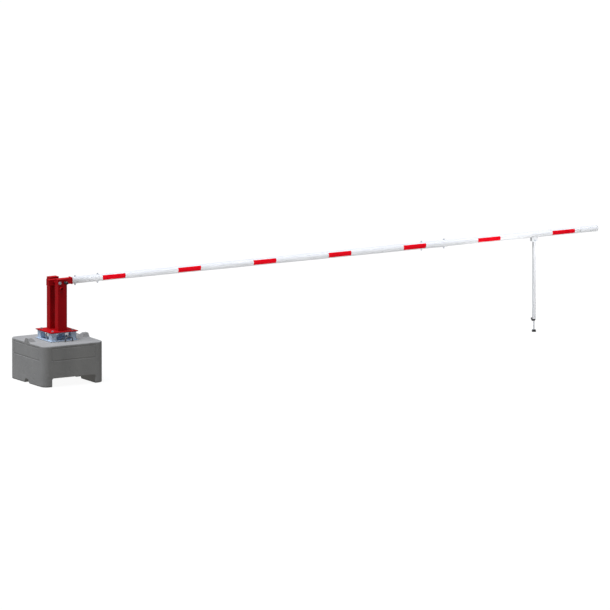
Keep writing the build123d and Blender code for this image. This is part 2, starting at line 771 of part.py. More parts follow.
key = [(LOCK_X, LOCK_Z)]
screws = [(LOCK_X, z) for z in LOCK_SCREWS_Z]
case_middle = (LOCK_X, (CASE_BOTTOM + CASE_TOP) / 2)
case_height = CASE_TOP - CASE_BOTTOM
case_front = -POST_OUTER + POST_WALL
case_depth = CASE_BACK - case_front

with BuildPart() as lock_sleeve:
    rings(facing_front(-POST_OUTER), key, KEY_SLEEVE_OUTER, KEY_SLEEVE_INNER, KEY_SLEEVE_LENGTH)
save(lock_sleeve, "lock_sleeve")

with BuildPart() as lock_case:
    with BuildSketch(facing_front(CASE_BACK)):
        with Locations(case_middle):
            RectangleRounded(CASE_WIDTH, case_height, CASE_WALL)
    extrude(amount=case_depth)
    with BuildSketch(facing_front(CASE_BACK - CASE_WALL)):
        with Locations(case_middle):
            Rectangle(CASE_WIDTH - 2 * CASE_WALL, case_height - 2 * CASE_WALL)
    extrude(amount=case_depth - 2 * CASE_WALL, mode=Mode.SUBTRACT)
    case_cut = CASE_WALL + 2
    bolt_spot = [(LOCK_X, LOCK_BOLT_Z)]
    bars(facing_front(CASE_BACK + 1), bolt_spot, LOCK_BOLT_RADIUS + GUIDE_GAP, case_cut, Mode.SUBTRACT)
    front_wall = facing_front(case_front + CASE_WALL + 1)
    bars(front_wall, key, CORE_NECK + GUIDE_GAP, case_cut, Mode.SUBTRACT)
    bars(front_wall, screws, SCREW_RADIUS, case_cut, Mode.SUBTRACT)
save(lock_case, "lock_case")

with BuildPart() as lock_core:
    end_gap = CASE_WALL + 1
    bars(facing_front(CASE_BACK - end_gap), key, CORE_RADIUS, case_depth - 2 * end_gap)
    bars(facing_front(case_front + end_gap), key, CORE_NECK, end_gap + POST_WALL)
    with BuildSketch(facing_front(-POST_OUTER)):
        with Locations(*key):
            RegularPolygon(KEY_RADIUS, 3)
    extrude(amount=KEY_LENGTH)
save(lock_core, "lock_core")

with BuildPart() as lock_bolt:
    with BuildSketch(facing_front(YOKE_Y)):
        with Locations((LOCK_X, (LOCK_Z + LOCK_BOLT_Z) / 2 - 2)):
            RectangleRounded(YOKE_WIDTH, LOCK_BOLT_Z - LOCK_Z + 20, 4)
        with Locations(*key):
            Circle(CORE_RADIUS + 0.3, mode=Mode.SUBTRACT)
    extrude(amount=YOKE_THICK)
    bars(facing_front(LOCK_TIP), bolt_spot, LOCK_BOLT_RADIUS, LOCK_TIP - YOKE_Y)
    chamfer(lock_bolt.edges().group_by(Axis.Y)[-1], 1)
save(lock_bolt, "lock_bolt")

with BuildPart() as lock_screws:
    bars(facing_front(-POST_OUTER), screws, SCREW_HEAD, SCREW_HEAD_HEIGHT)
    fillet(lock_screws.edges().group_by(Axis.Y)[0], SCREW_HEAD_HEIGHT / 2)
    bars(facing_front(-POST_OUTER), screws, SCREW_RADIUS, -12)
    bars(facing_front(-POST_OUTER - 1), screws, SCREW_SOCKET, SCREW_HEAD_HEIGHT, Mode.SUBTRACT)
save(lock_screws, "lock_screws")

# ==== Gas spring ====

spring_plane = Plane(origin=SPRING_FOOT, x_dir=(0, 1, 0), z_dir=SPRING_AXIS)
foot_spot = [(SPRING_FOOT[0], SPRING_FOOT[2])]
head_spot = [(SPRING_HEAD[0], SPRING_HEAD[2])]

with BuildPart() as gas_spring_bracket:
    with BuildSketch(Plane.XY.offset(BASE_TOP)):
        with Locations((SPRING_FOOT[0], 0)):
            RectangleRounded(BRACKET_FOOT, BRACKET_FOOT, EAR_THICK)
    extrude(amount=EAR_THICK)
    ear_top = SPRING_FOOT[2] + 14
    for ear_start in EAR_STARTS:
        with BuildSketch(facing_front(ear_start)):
            with Locations((SPRING_FOOT[0], (BASE_TOP + ear_top) / 2)):
                RectangleRounded(EAR_WIDTH, ear_top - BASE_TOP, 10)
            with Locations(*foot_spot):
                Circle(PIN_RADIUS, mode=Mode.SUBTRACT)
        extrude(amount=EAR_THICK)
save(gas_spring_bracket, "gas_spring_bracket")

with BuildPart() as gas_spring_foot_pin:
    pin_half = EAR_STARTS[0] + 2
    bars(facing_front(pin_half + 2), foot_spot, PIN_RADIUS, 2 * pin_half + 2)
    bars(facing_front(-pin_half), foot_spot, PIN_RADIUS + 3, 3)
    bars(facing_front(pin_half), foot_spot, PIN_RADIUS + 2, 1)
save(gas_spring_foot_pin, "gas_spring_foot_pin")

center = [(0, 0)]
cylinder_bore = CYLINDER_RADIUS - CYLINDER_WALL

with BuildPart() as gas_spring_cylinder:
    bars(spring_plane.offset(CYLINDER_START), center, CYLINDER_RADIUS, CYLINDER_END - CYLINDER_START)
    bars(spring_plane.offset(CYLINDER_FLOOR), center, cylinder_bore, CYLINDER_END, Mode.SUBTRACT)
    bars(spring_plane, center, EYE_NECK, CYLINDER_START)
    bars(facing_front(EYE_WIDTH / 2), foot_spot, EYE_RADIUS, EYE_WIDTH)
    bars(facing_front(EYE_WIDTH / 2), foot_spot, PIN_RADIUS + RUNNING_GAP, EYE_WIDTH, Mode.SUBTRACT)
save(gas_spring_cylinder, "gas_spring_cylinder")

with BuildPart() as gas_spring_guide:
    guide_plane = spring_plane.offset(CYLINDER_END - GUIDE_LENGTH)
    rings(guide_plane, center, cylinder_bore, ROD_RADIUS + RUNNING_GAP, GUIDE_LENGTH)
save(gas_spring_guide, "gas_spring_guide")

rod_end = SPRING_LENGTH - ROD_TO_HEAD
rod_start = PISTON_START + 10

with BuildPart() as gas_spring_rod:
    bars(spring_plane.offset(rod_start), center, ROD_RADIUS, rod_end - rod_start)
    bars(spring_plane.offset(PISTON_START), center, cylinder_bore - PISTON_GAP, PISTON_LENGTH)
save(gas_spring_rod, "gas_spring_rod")

with BuildPart() as gas_spring_eye:
    bars(spring_plane.offset(rod_end - 12), center, EYE_NECK, 20)
    bars(facing_front(EYE_WIDTH / 2), head_spot, EYE_RADIUS, EYE_WIDTH)
    bars(spring_plane.offset(rod_end - 13), center, ROD_RADIUS, 13, Mode.SUBTRACT)
    bars(facing_front(EYE_WIDTH / 2), head_spot, PIN_RADIUS, EYE_WIDTH, Mode.SUBTRACT)
save(gas_spring_eye, "gas_spring_eye")

with BuildPart() as gas_spring_head_pin:
    head_pin_half = LUG_GAP / 2 + LUG_THICK + 3
    bars(facing_front(head_pin_half), head_spot, PIN_RADIUS, 2 * head_pin_half)
save(gas_spring_head_pin, "gas_spring_head_pin")

# The slot lets the pin wander inwards while the arm swings between its two ends.
slot_inner = (
    SPRING_HEAD[0] + SLOT_SHARE * (PIVOT_X - SPRING_HEAD[0]),
    SPRING_HEAD[2] + SLOT_SHARE * (PIVOT_Z - SPRING_HEAD[2]),
)
lug_reach = SLOT_RADIUS + LUG_MARGIN
lug_left = slot_inner[0] - lug_reach
lug_right = SPRING_HEAD[0] + lug_reach

with BuildPart() as gas_spring_lugs:
    for lug_start in (LUG_GAP / 2 + LUG_THICK, -LUG_GAP / 2):
        with BuildSketch(facing_front(lug_start)) as lug:
            with BuildLine():
                Polyline(
                    (lug_left, arm_bottom),
                    (lug_left, SPRING_HEAD[2] + LUG_MARGIN),
                    (SPRING_HEAD[0] - lug_reach, SPRING_HEAD[2] - lug_reach),
                    (lug_right, SPRING_HEAD[2] - lug_reach),
                    (lug_right, arm_bottom),
                    close=True,
                )
            make_face()
            fillet(lug.vertices(), LUG_MARGIN)
            with BuildSketch(facing_front(lug_start), mode=Mode.PRIVATE) as slot:
                with Locations(head_spot[0], slot_inner):
                    Circle(SLOT_RADIUS)
                make_hull()
            add(slot.sketch_local, mode=Mode.SUBTRACT)
        extrude(amount=LUG_THICK)
save(gas_spring_lugs, "gas_spring_lugs")

# ==== Pendulum leg ====

leg_pivot = [(LEG_X, LEG_PIVOT_Z)]
leg_axis = [(LEG_X, 0)]
bracket_outer = BRACKET_INNER + BRACKET_WALL

with BuildPart() as leg_bracket:
    with BuildSketch(across_boom(LEG_X - BRACKET_LENGTH / 2)):
        with Locations((0, (BRACKET_BOTTOM + BOOM_Z) / 2)):
            Rectangle(2 * bracket_outer, BOOM_Z - BRACKET_BOTTOM)
        with Locations((0, (BRACKET_BOTTOM + BRACKET_WEB) / 2)):
            Rectangle(2 * BRACKET_INNER, BRACKET_WEB - BRACKET_BOTTOM, mode=Mode.SUBTRACT)
    extrude(amount=BRACKET_LENGTH)
    bars(across_boom(LEG_X - BRACKET_LENGTH), boom_axis, OUTER_RADIUS, 2 * BRACKET_LENGTH, Mode.SUBTRACT)
    bars(facing_front(bracket_outer), leg_pivot, LEG_BOLT, 2 * bracket_outer, Mode.SUBTRACT)
save(leg_bracket, "leg_bracket")

with BuildPart() as leg_bolt:
    head_back = bracket_outer + LEG_WASHER_THICK
    bars(facing_front(bracket_outer + 12), leg_pivot, LEG_BOLT, bracket_outer + 12 + head_back)
    hexes(facing_front(-head_back), leg_pivot, LEG_BOLT_FLATS, LEG_BOLT_HEAD)
save(leg_bolt, "leg_bolt")

with BuildPart() as leg_washers:
    beside_tube = PROP_SIDE / 2 + LEG_SIDE_GAP
    spacer = BRACKET_INNER - beside_tube
    for start, thick in (
        (-bracket_outer, LEG_WASHER_THICK),
        (head_back, LEG_WASHER_THICK),
        (BRACKET_INNER, spacer),
        (-beside_tube, spacer),
    ):
        rings(facing_front(start), leg_pivot, LEG_WASHER, LEG_BOLT, thick)
save(leg_washers, "leg_washers")

with BuildPart() as leg_nut:
    hexes(facing_front(head_back + LEG_BOLT_NUT), leg_pivot, LEG_BOLT_FLATS, LEG_BOLT_NUT, LEG_BOLT)
save(leg_nut, "leg_nut")

with BuildPart() as leg_tube:
    tubes(
        Plane.XY.offset(PROP_BOTTOM),
        leg_axis,
        PROP_SIDE,
        PROP_SIDE,
        PROP_WALL,
        PROP_CORNER,
        PROP_TOP - PROP_BOTTOM,
    )
    bars(facing_front(PROP_SIDE), leg_pivot, BUSH_RADIUS, 2 * PROP_SIDE, Mode.SUBTRACT)
save(leg_tube, "leg_tube")

with BuildPart() as leg_bush:
    rings(facing_front(PROP_SIDE / 2), leg_pivot, BUSH_RADIUS, LEG_BOLT + RUNNING_GAP, PROP_SIDE)
save(leg_bush, "leg_bush")

plug_side = PROP_SIDE - 2 * PROP_WALL - 2 * PLUG_PLAY

with BuildPart() as leg_end_plug:
    with BuildSketch(Plane.XY.offset(PROP_BOTTOM - PLUG_FLANGE)):
        with Locations(*leg_axis):
            RectangleRounded(PROP_SIDE, PROP_SIDE, PROP_CORNER)
    extrude(amount=PLUG_FLANGE)
    with BuildSketch(Plane.XY.offset(PROP_BOTTOM)):
        with Locations(*leg_axis):
            RectangleRounded(plug_side, plug_side, 1)
    extrude(amount=PLUG_LENGTH)
    bars(Plane.XY.offset(PROP_BOTTOM - 20), leg_axis, SPINDLE_RADIUS + RUNNING_GAP, 80, Mode.SUBTRACT)
save(leg_end_plug, "leg_end_plug")

with BuildPart() as clamping_lever:
    hub_height = PROP_BOTTOM - PLUG_FLANGE - HUB_GAP - HUB_BOTTOM
    bars(Plane.XY.offset(HUB_BOTTOM), leg_axis, HUB_RADIUS, hub_height)
    # The grip rises outside the corners of the leg, so that it turns freely.
    with BuildSketch(facing_front(GRIP_WIDTH / 2)):
        with BuildLine():
            Polyline(
                (LEG_X - 8, HUB_BOTTOM + 1),
                (LEG_X - 22, HUB_BOTTOM + 1),
                (LEG_X - 38, HUB_BOTTOM + 22),
                (LEG_X - 38, HUB_BOTTOM + 43),
                (LEG_X - 25, HUB_BOTTOM + 43),
                (LEG_X - 24, HUB_BOTTOM + 10),
                (LEG_X - 8, HUB_BOTTOM + 10),
                close=True,
            )
        make_face()
    extrude(amount=GRIP_WIDTH)
    fillet(clamping_lever.faces().sort_by(Axis.Z)[-1].edges(), 4)
    bars(
        Plane.XY.offset(HUB_BOTTOM - 1), leg_axis, SPINDLE_RADIUS + RUNNING_GAP, 40, Mode.SUBTRACT
    )
save(clamping_lever, "clamping_lever")

with BuildPart() as spindle:
    bars(Plane.XY.offset(SPINDLE_START), leg_axis, SPINDLE_RADIUS, SPINDLE_END - SPINDLE_START)
    chamfer(spindle.edges().group_by(Axis.Z)[-1], 1)
save(spindle, "spindle")

with BuildPart() as rubber_foot:
    with BuildSketch(Plane.XY):
        with Locations(*leg_axis):
            Circle(FOOT_RADIUS)
    extrude(amount=FOOT_HEIGHT, taper=FOOT_TAPER)
    fillet(rubber_foot.edges().group_by(Axis.Z)[-1], FOOT_EDGE)
    bars(Plane.XY.offset(SPINDLE_START), leg_axis, SPINDLE_RADIUS, FOOT_HEIGHT, Mode.SUBTRACT)
save(rubber_foot, "rubber_foot")
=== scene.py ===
"""Looks of the parking barrier gate: materials, cast concrete, weld beads, threads, light and camera.

Everything is in metres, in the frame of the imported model. +X runs along the closed boom.
"""

import json
import math

import bpy
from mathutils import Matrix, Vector, noise


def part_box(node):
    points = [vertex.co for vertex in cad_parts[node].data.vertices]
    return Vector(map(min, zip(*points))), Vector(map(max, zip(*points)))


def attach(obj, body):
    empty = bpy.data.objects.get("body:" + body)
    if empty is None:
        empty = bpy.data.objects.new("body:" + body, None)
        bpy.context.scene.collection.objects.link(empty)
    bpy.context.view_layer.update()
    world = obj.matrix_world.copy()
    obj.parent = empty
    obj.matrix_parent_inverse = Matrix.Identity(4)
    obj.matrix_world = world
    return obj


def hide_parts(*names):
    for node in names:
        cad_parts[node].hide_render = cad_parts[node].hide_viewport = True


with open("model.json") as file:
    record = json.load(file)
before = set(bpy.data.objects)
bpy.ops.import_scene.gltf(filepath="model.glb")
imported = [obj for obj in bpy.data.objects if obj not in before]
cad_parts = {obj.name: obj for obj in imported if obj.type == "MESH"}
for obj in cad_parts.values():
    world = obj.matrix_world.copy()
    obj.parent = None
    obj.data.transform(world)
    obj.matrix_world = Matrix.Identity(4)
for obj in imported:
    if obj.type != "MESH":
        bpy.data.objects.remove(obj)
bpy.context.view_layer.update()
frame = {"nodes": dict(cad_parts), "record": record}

# ---- Camera: a very long lens, so that the view is nearly parallel ----
AZIMUTH = math.radians(-30)
ELEVATION = math.radians(10)
FRAME_WIDTH = 7.04
SENSOR = 36.0
LENS = 1650.0
CLIP_START = 1.0
CLIP_END = 4000.0
AIM = Vector((3.2896, 0.0, 0.5835))

# ---- Light ----
SKY_STRENGTH = 0.15
SUN_COLOR = (0.96, 0.985, 1.05)
SUN_STRENGTH = 4.4
SUN_SOFTNESS = math.radians(50)
SUN_FROM = Vector((-0.28, 0.03, 1.0))
FLOOR_BOUNCE = 0.40
FLOOR_COLOR = (1.0, 0.985, 0.95)
FLOOR_GLOW = 0.93
FLOOR_SHADOW = 0.07
FLOOR_HALF = 1500.0
# Each soft box: its middle, length, height, power and spread in degrees.
SOFT_BOXES = {
    "boom_light": (Vector((4.25, -0.9, 1.05)), 8.0, 0.5, 11.75, 50),
    "leg_light": (Vector((5.9, -0.9, 0.5)), 0.7, 1.0, 5.2, 80),
}

# ---- Places from the frame ----
BLOCK_LOW, BLOCK_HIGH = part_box("concrete_block")
BOOM_LOW, BOOM_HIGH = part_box("boom_main_tube")
BOOM_Z = (BOOM_LOW[2] + BOOM_HIGH[2]) / 2
BOOM_RADIUS = (BOOM_HIGH[2] - BOOM_LOW[2]) / 2

# ---- Cast skin of the block: mesh sizes, and how deep its waves and chips go ----
BLOCK_WELD = 1e-5
BLOCK_VOXEL = 0.0035
BLOCK_SHARE_KEPT = 0.16
SKIN_INSET = 0.0005
SKIN_WAVE = 0.0006
WAVE_LIFT = 0.6
LONG_WAVES = 9.0  # lumps in a metre
SHORT_WAVES = 31.0
CHIPS = 26.0
CHIP_DEPTH = 0.004
CHIP_LEVEL = 0.38
CHIP_SHIFT = Vector((3.1, 0.7, 5.2))

# ---- Weld beads: the radius of each, and how they are laid ----
POST_BEAD = 0.0042
LID_BEAD = 0.0014
ADAPTER_BEAD = 0.0036
ARM_BEAD = 0.004
TAIL_BEAD = 0.0013
TAIL_INSET = 0.0018
SLEEVE_BEAD = 0.0026
BRACKET_BEAD = 0.0022
BRACKET_GAP = 0.004
BRACKET_DROP = 0.001
BRACKET_INSET = 0.0005
SLEEVE_POINTS = 36
BEAD_SIDES = 8
BEAD_STEP = 0.0022
BEAD_RIPPLE = 0.16
BEAD_RIPPLE_TURN = 2.1
BEAD_LUMPS = 0.12
BEAD_LUMP_SCALE = 70.0
BEAD_TIP = 0.35
BEAD_TIP_GROWTH = 0.2
CORNER_STEPS = 4
TUBE_CORNER = 0.006
ADAPTER_LEG_SIDE = 0.07
ADAPTER_LEG_CORNER = 0.008

# ---- Threads and the foot ----
STUD_NOMINAL_RADIUS = 0.008
STUD_RADIUS = 0.00795
STUD_PITCH = 0.002
SPINDLE_RADIUS = 0.00595
SPINDLE_PITCH = 0.00175
THREAD_DEPTH = 0.61  # as a share of the pitch
THREAD_SIDES = 20
THREAD_ROWS = 6  # in one turn
FOOT_SIDES = 64
RIB_COUNT = 5
RIB_DEPTH = 0.0011
RIB_TAPER = 0.002
RIB_START = 0.003  # above the sole
RIB_ENDS = 0.008  # height left without ribs

# ---- Film ----
FILM_CELL = 0.0042

# ---- Rounded edges of the CAD nodes ----
EDGE_WELD = 1e-6
FLAT_ANGLE = math.radians(1.0)
EDGE_ANGLE = math.radians(40)
EDGE_SEGMENTS = 2


# ==== Materials ====


def start_material(name, color, roughness, metallic=0.0):
    """A principled material with plain values on its own sockets."""
    material = bpy.data.materials.new(name)
    material.use_nodes = True
    tree = material.node_tree
    shader = tree.nodes["Principled BSDF"]
    shader.inputs["Base Color"].default_value = (*color, 1.0)
    shader.inputs["Roughness"].default_value = roughness
    shader.inputs["Metallic"].default_value = metallic
    return material, tree, shader


def place(tree, stretch=(1.0, 1.0, 1.0)):
    """Coordinates fixed to the piece, in metres, stretched along its axes."""
    coords = tree.nodes.new("ShaderNodeTexCoord")
    mapping = tree.nodes.new("ShaderNodeMapping")
    mapping.inputs["Scale"].default_value = stretch
    tree.links.new(coords.outputs["Object"], mapping.inputs["Vector"])
    return mapping.outputs["Vector"]


def clouds(tree, scale, detail=4.0, roughness=0.55, stretch=(1.0, 1.0, 1.0)):
    """Soft noise of the given number of lumps in a metre."""
    texture = tree.nodes.new("ShaderNodeTexNoise")
    texture.inputs["Scale"].default_value = scale
    texture.inputs["Detail"].default_value = detail
    texture.inputs["Roughness"].default_value = roughness
    tree.links.new(place(tree, stretch), texture.inputs["Vector"])
    return texture.outputs["Fac"]


def cells(tree, scale, output="Distance"):
    """Voronoi cells of the given number in a metre."""
    texture = tree.nodes.new("ShaderNodeTexVoronoi")
    texture.inputs["Scale"].default_value = scale
    tree.links.new(place(tree), texture.inputs["Vector"])
    return texture.outputs[output]


def remap(tree, value, low, high, to_low, to_high):
    """Maps a range of values onto another range, clamped."""
    node = tree.nodes.new("ShaderNodeMapRange")
    node.inputs["From Min"].default_value = low
    node.inputs["From Max"].default_value = high
    node.inputs["To Min"].default_value = to_low
    node.inputs["To Max"].default_value = to_high
    tree.links.new(value, node.inputs["Value"])
    return node.outputs["Result"]


def combine(tree, operation, first, second):
    """One step of arithmetic on two outputs, or on an output and a number."""
    node = tree.nodes.new("ShaderNodeMath")
    node.operation = operation
    for socket, value in zip(node.inputs, (first, second)):
        if isinstance(value, (int, float)):
            socket.default_value = value
        else:
            tree.links.new(value, socket)
    return node.outputs["Value"]


def blend_colors(tree, factor, first, second):
    """Blends two colours, each a colour or an output, by a factor from 0 to 1."""
    node = tree.nodes.new("ShaderNodeMix")
    node.data_type = "RGBA"
    tree.links.new(factor, node.inputs["Factor"])
    for socket, value in ((node.inputs["A"], first), (node.inputs["B"], second)):
        if isinstance(value, tuple):
            socket.default_value = (*value, 1.0)
        else:
            tree.links.new(value, socket)
    return node.outputs["Result"]


def bump(tree, shader, height, depth, strength=1.0, under=None):
    """Presses a height into the surface, with its depth in metres."""
    node = tree.nodes.new("ShaderNodeBump")
    node.inputs["Strength"].default_value = strength
    node.inputs["Distance"].default_value = depth
    tree.links.new(height, node.inputs["Height"])
    if under:
        tree.links.new(under, node.inputs["Normal"])
    tree.links.new(node.outputs["Normal"], shader.inputs["Normal"])
    return node.outputs["Normal"]


def edge_mask(tree, reach):
    """Near 1 along sharp edges and 0 on open faces."""
    rounded = tree.nodes.new("ShaderNodeBevel")
    rounded.inputs["Radius"].default_value = reach
    flat = tree.nodes.new("ShaderNodeNewGeometry")
    dot = tree.nodes.new("ShaderNodeVectorMath")
    dot.operation = "DOT_PRODUCT"
    tree.links.new(rounded.outputs["Normal"], dot.inputs[0])
    tree.links.new(flat.outputs["Normal"], dot.inputs[1])
    return remap(tree, dot.outputs["Value"], 0.995, 0.8, 0.0, 1.0)


def concrete():
    """Cast concrete: fine sand, air holes darkened with painted shade, soft stains, faint upright streaks
    and painted shade in the hollows.
    """
    material, tree, shader = start_material("cast_concrete", (0.28, 0.28, 0.277), 0.86)
    sand = clouds(tree, 420.0, 3.0, 0.7)
    stains = clouds(tree, 3.2, 5.0, 0.6)
    streaks = clouds(tree, 5.0, 3.0, 0.5, (1.0, 1.0, 0.22))
    half_stains = combine(tree, "MULTIPLY", stains, 0.5)
    half_streaks = combine(tree, "MULTIPLY", streaks, 0.5)
    tone = remap(tree, combine(tree, "ADD", half_stains, half_streaks), 0.32, 0.68, 0.0, 1.0)
    base = blend_colors(tree, tone, (0.229, 0.232, 0.233), (0.317, 0.317, 0.312))
    grains = blend_colors(tree, remap(tree, sand, 0.35, 0.7, 0.0, 0.55), base, (0.36, 0.357, 0.346))
    holes = remap(tree, cells(tree, 46.0), 0.035, 0.085, 0.0, 1.0)
    sparse = remap(tree, clouds(tree, 9.0, 2.0), 0.5, 0.56, 0.0, 1.0)
    pits = combine(tree, "MAXIMUM", holes, combine(tree, "SUBTRACT", 1.0, sparse))
    # Painted shade: an ambient-occlusion mask darkens the colour in grooves, hollows and corners, where
    # shade falls.
    open_air = tree.nodes.new("ShaderNodeAmbientOcclusion")
    open_air.inputs["Distance"].default_value = 0.02
    painted_hollow_shade = remap(tree, open_air.outputs["AO"], 0.6, 0.97, 0.9, 0.0)
    grains_with_painted_shade = blend_colors(tree, painted_hollow_shade, grains, (0.10, 0.098, 0.094))
    # The air holes take a flat dark colour, which is painted shade inside them; their depth comes only from
    # the bump below.
    final = blend_colors(tree, pits, (0.113, 0.113, 0.113), grains_with_painted_shade)
    tree.links.new(final, shader.inputs["Base Color"])
    tree.links.new(remap(tree, sand, 0.3, 0.7, 0.78, 0.95), shader.inputs["Roughness"])
    first = bump(tree, shader, sand, 0.0008, 0.5)
    second = bump(tree, shader, pits, 0.002, 0.7, first)
    bump(tree, shader, clouds(tree, 60.0, 4.0), 0.0012, 0.35, second)
    shader.inputs["Specular IOR Level"].default_value = 0.25
    return material


def galvanised():
    """Hot-dip zinc: pale blue-grey spangle with soft cloudy dulling."""
    material, tree, shader = start_material("galvanised_steel", (0.56, 0.68, 0.84), 0.5, 0.1)
    spangle = tree.nodes.new("ShaderNodeSeparateColor")
    tree.links.new(cells(tree, 110.0, "Color"), spangle.inputs["Color"])
    flakes = spangle.outputs["Red"]
    clouded = clouds(tree, 14.0, 4.0)
    color = blend_colors(tree, flakes, (0.49, 0.62, 0.79), (0.64, 0.77, 0.93))
    dulled = blend_colors(tree, remap(tree, clouded, 0.35, 0.7, 0.0, 0.5), color, (0.56, 0.67, 0.81))
    tree.links.new(dulled, shader.inputs["Base Color"])
    tree.links.new(remap(tree, flakes, 0.0, 1.0, 0.38, 0.56), shader.inputs["Roughness"])
    bump(tree, shader, clouds(tree, 55.0, 3.0), 0.0006, 0.4)
    return material


def paint(name, color, worn_color, roughness, gloss, mottling):
    """Powder coat: orange peel, slight mottling, smudges and thin wear at the edges."""
    material, tree, shader = start_material(name, color, roughness)
    darker = tuple(c * (1 - mottling) for c in color)
    patches = remap(tree, clouds(tree, 7.0, 4.0), 0.35, 0.65, 0.0, 1.0)
    mottled = blend_colors(tree, patches, darker, color)
    chips = remap(tree, clouds(tree, 130.0, 4.0, 0.7), 0.62, 0.72, 0.0, 0.6)
    wear = combine(tree, "MULTIPLY", edge_mask(tree, 0.0014), chips)
    final = blend_colors(tree, wear, mottled, worn_color)
    tree.links.new(final, shader.inputs["Base Color"])
    smudges = remap(tree, clouds(tree, 22.0, 5.0, 0.6), 0.3, 0.7, roughness - 0.07, roughness + 0.12)
    tree.links.new(smudges, shader.inputs["Roughness"])
    peel = bump(tree, shader, clouds(tree, 380.0, 2.0, 0.4), 0.00006, 0.5)
    bump(tree, shader, wear, -0.0002, 0.6, peel)
    shader.inputs["Specular IOR Level"].default_value = gloss
    return material


def plated(name, color, roughness, metallic=0.75):
    """Plated or machined steel with a fine grain and a little cloudiness."""
    material, tree, shader = start_material(name, color, roughness, metallic)
    pale = tuple(min(1.0, c * 1.15) for c in color)
    dull = tuple(c * 0.78 for c in color)
    cloudy = remap(tree, clouds(tree, 45.0, 4.0), 0.3, 0.7, 0.0, 1.0)
    tree.links.new(blend_colors(tree, cloudy, dull, pale), shader.inputs["Base Color"])
    grain = clouds(tree, 600.0, 2.0, 0.5)
    shine = remap(tree, grain, 0.3, 0.7, roughness - 0.1, roughness + 0.14)
    tree.links.new(shine, shader.inputs["Roughness"])
    bump(tree, shader, grain, 0.00012, 0.4)
    return material


def moulded(name, color, roughness, grain=900.0, depth=0.00015):
    """Moulded plastic or rubber with a fine grain and faint dust."""
    material, tree, shader = start_material(name, color, roughness)
    dusty = tuple(min(1.0, c * 1.25 + 0.012) for c in color)
    dust = remap(tree, clouds(tree, 30.0, 5.0, 0.65), 0.42, 0.72, 0.0, 1.0)
    tree.links.new(blend_colors(tree, dust, color, dusty), shader.inputs["Base Color"])
    shine = remap(tree, dust, 0.0, 1.0, roughness - 0.04, roughness + 0.12)
    tree.links.new(shine, shader.inputs["Roughness"])
    bump(tree, shader, clouds(tree, grain, 2.0), depth, 0.5)
    return material


def reflective_film():
    """Red retroreflective film: a diamond grid of sealed cells wrapped round the tube."""
    material, tree, shader = start_material("red_reflective_film", (0.61, 0.002, 0.009), 0.3)
    coords = tree.nodes.new("ShaderNodeTexCoord")
    parts = tree.nodes.new("ShaderNodeSeparateXYZ")
    tree.links.new(coords.outputs["Object"], parts.inputs["Vector"])
    height = combine(tree, "SUBTRACT", parts.outputs["Z"], BOOM_Z)
    angle = combine(tree, "ARCTAN2", height, combine(tree, "ABSOLUTE", parts.outputs["Y"], 0.0))
    around = combine(tree, "MULTIPLY", angle, BOOM_RADIUS)
    seams = []
    for operation in ("ADD", "SUBTRACT"):
        across = combine(tree, operation, parts.outputs["X"], around)
        wave = combine(tree, "PINGPONG", combine(tree, "DIVIDE", across, FILM_CELL), 0.5)
        seams.append(remap(tree, wave, 0.0, 0.09, 0.0, 1.0))
    grid = combine(tree, "MINIMUM", *seams)
    patches = remap(tree, clouds(tree, 18.0, 3.0), 0.35, 0.65, 0.0, 1.0)
    mottled = blend_colors(tree, patches, (0.57, 0.001, 0.007), (0.65, 0.002, 0.010))
    tree.links.new(blend_colors(tree, grid, (0.47, 0.002, 0.011), mottled), shader.inputs["Base Color"])
    tree.links.new(remap(tree, grid, 0.0, 1.0, 0.42, 0.26), shader.inputs["Roughness"])
    bump(tree, shader, grid, 0.0001, 0.5)
    shader.inputs["Specular IOR Level"].default_value = 0.04
    return material


MATERIALS = {
    "concrete": concrete(),
    "galvanised_steel": galvanised(),
    "red_paint": paint("red_powder_coat", (0.45, 0.0065, 0.0105), (0.24, 0.20, 0.19), 0.42, 0.05, 0.12),
    "white_aluminium": paint("white_powder_coat", (0.63, 0.645, 0.67), (0.50, 0.51, 0.52), 0.36, 0.3, 0.03),
    "zinc_steel": plated("zinc_plated_steel", (0.52, 0.56, 0.62), 0.36),
    "dark_steel": plated("dark_steel", (0.14, 0.14, 0.145), 0.5, 0.6),
    "black_steel": plated("blackened_steel", (0.03, 0.03, 0.032), 0.45, 0.4),
    "red_film": reflective_film(),
    "black_plastic": moulded("black_plastic", (0.014, 0.014, 0.016), 0.3),
    "pale_plastic": moulded("pale_plastic", (0.46, 0.47, 0.49), 0.45),
    "rubber": moulded("black_rubber", (0.022, 0.022, 0.023), 0.8, 500.0, 0.0004),
}


# ==== Pieces ====


def new_piece(name, vertices, faces, body, slot):
    """A mesh piece with its material, riding on a body."""
    mesh = bpy.data.meshes.new(name)
    mesh.from_pydata([tuple(v) for v in vertices], [], faces)
    mesh.validate()
    piece = bpy.data.objects.new(name, mesh)
    bpy.context.scene.collection.objects.link(piece)
    finish_piece(piece, body, slot)
    return piece


def finish_piece(piece, body, slot):
    """Gives a piece its material, shading, body and slot."""
    piece.data.materials.clear()
    piece.data.materials.append(MATERIALS[slot])
    for polygon in piece.data.polygons:
        polygon.use_smooth = True
    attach(piece, body)


def apply_modifiers(piece):
    """Turns a piece's modifiers into its mesh."""
    depsgraph = bpy.context.evaluated_depsgraph_get()
    mesh = bpy.data.meshes.new_from_object(piece.evaluated_get(depsgraph))
    piece.modifiers.clear()
    piece.data = mesh


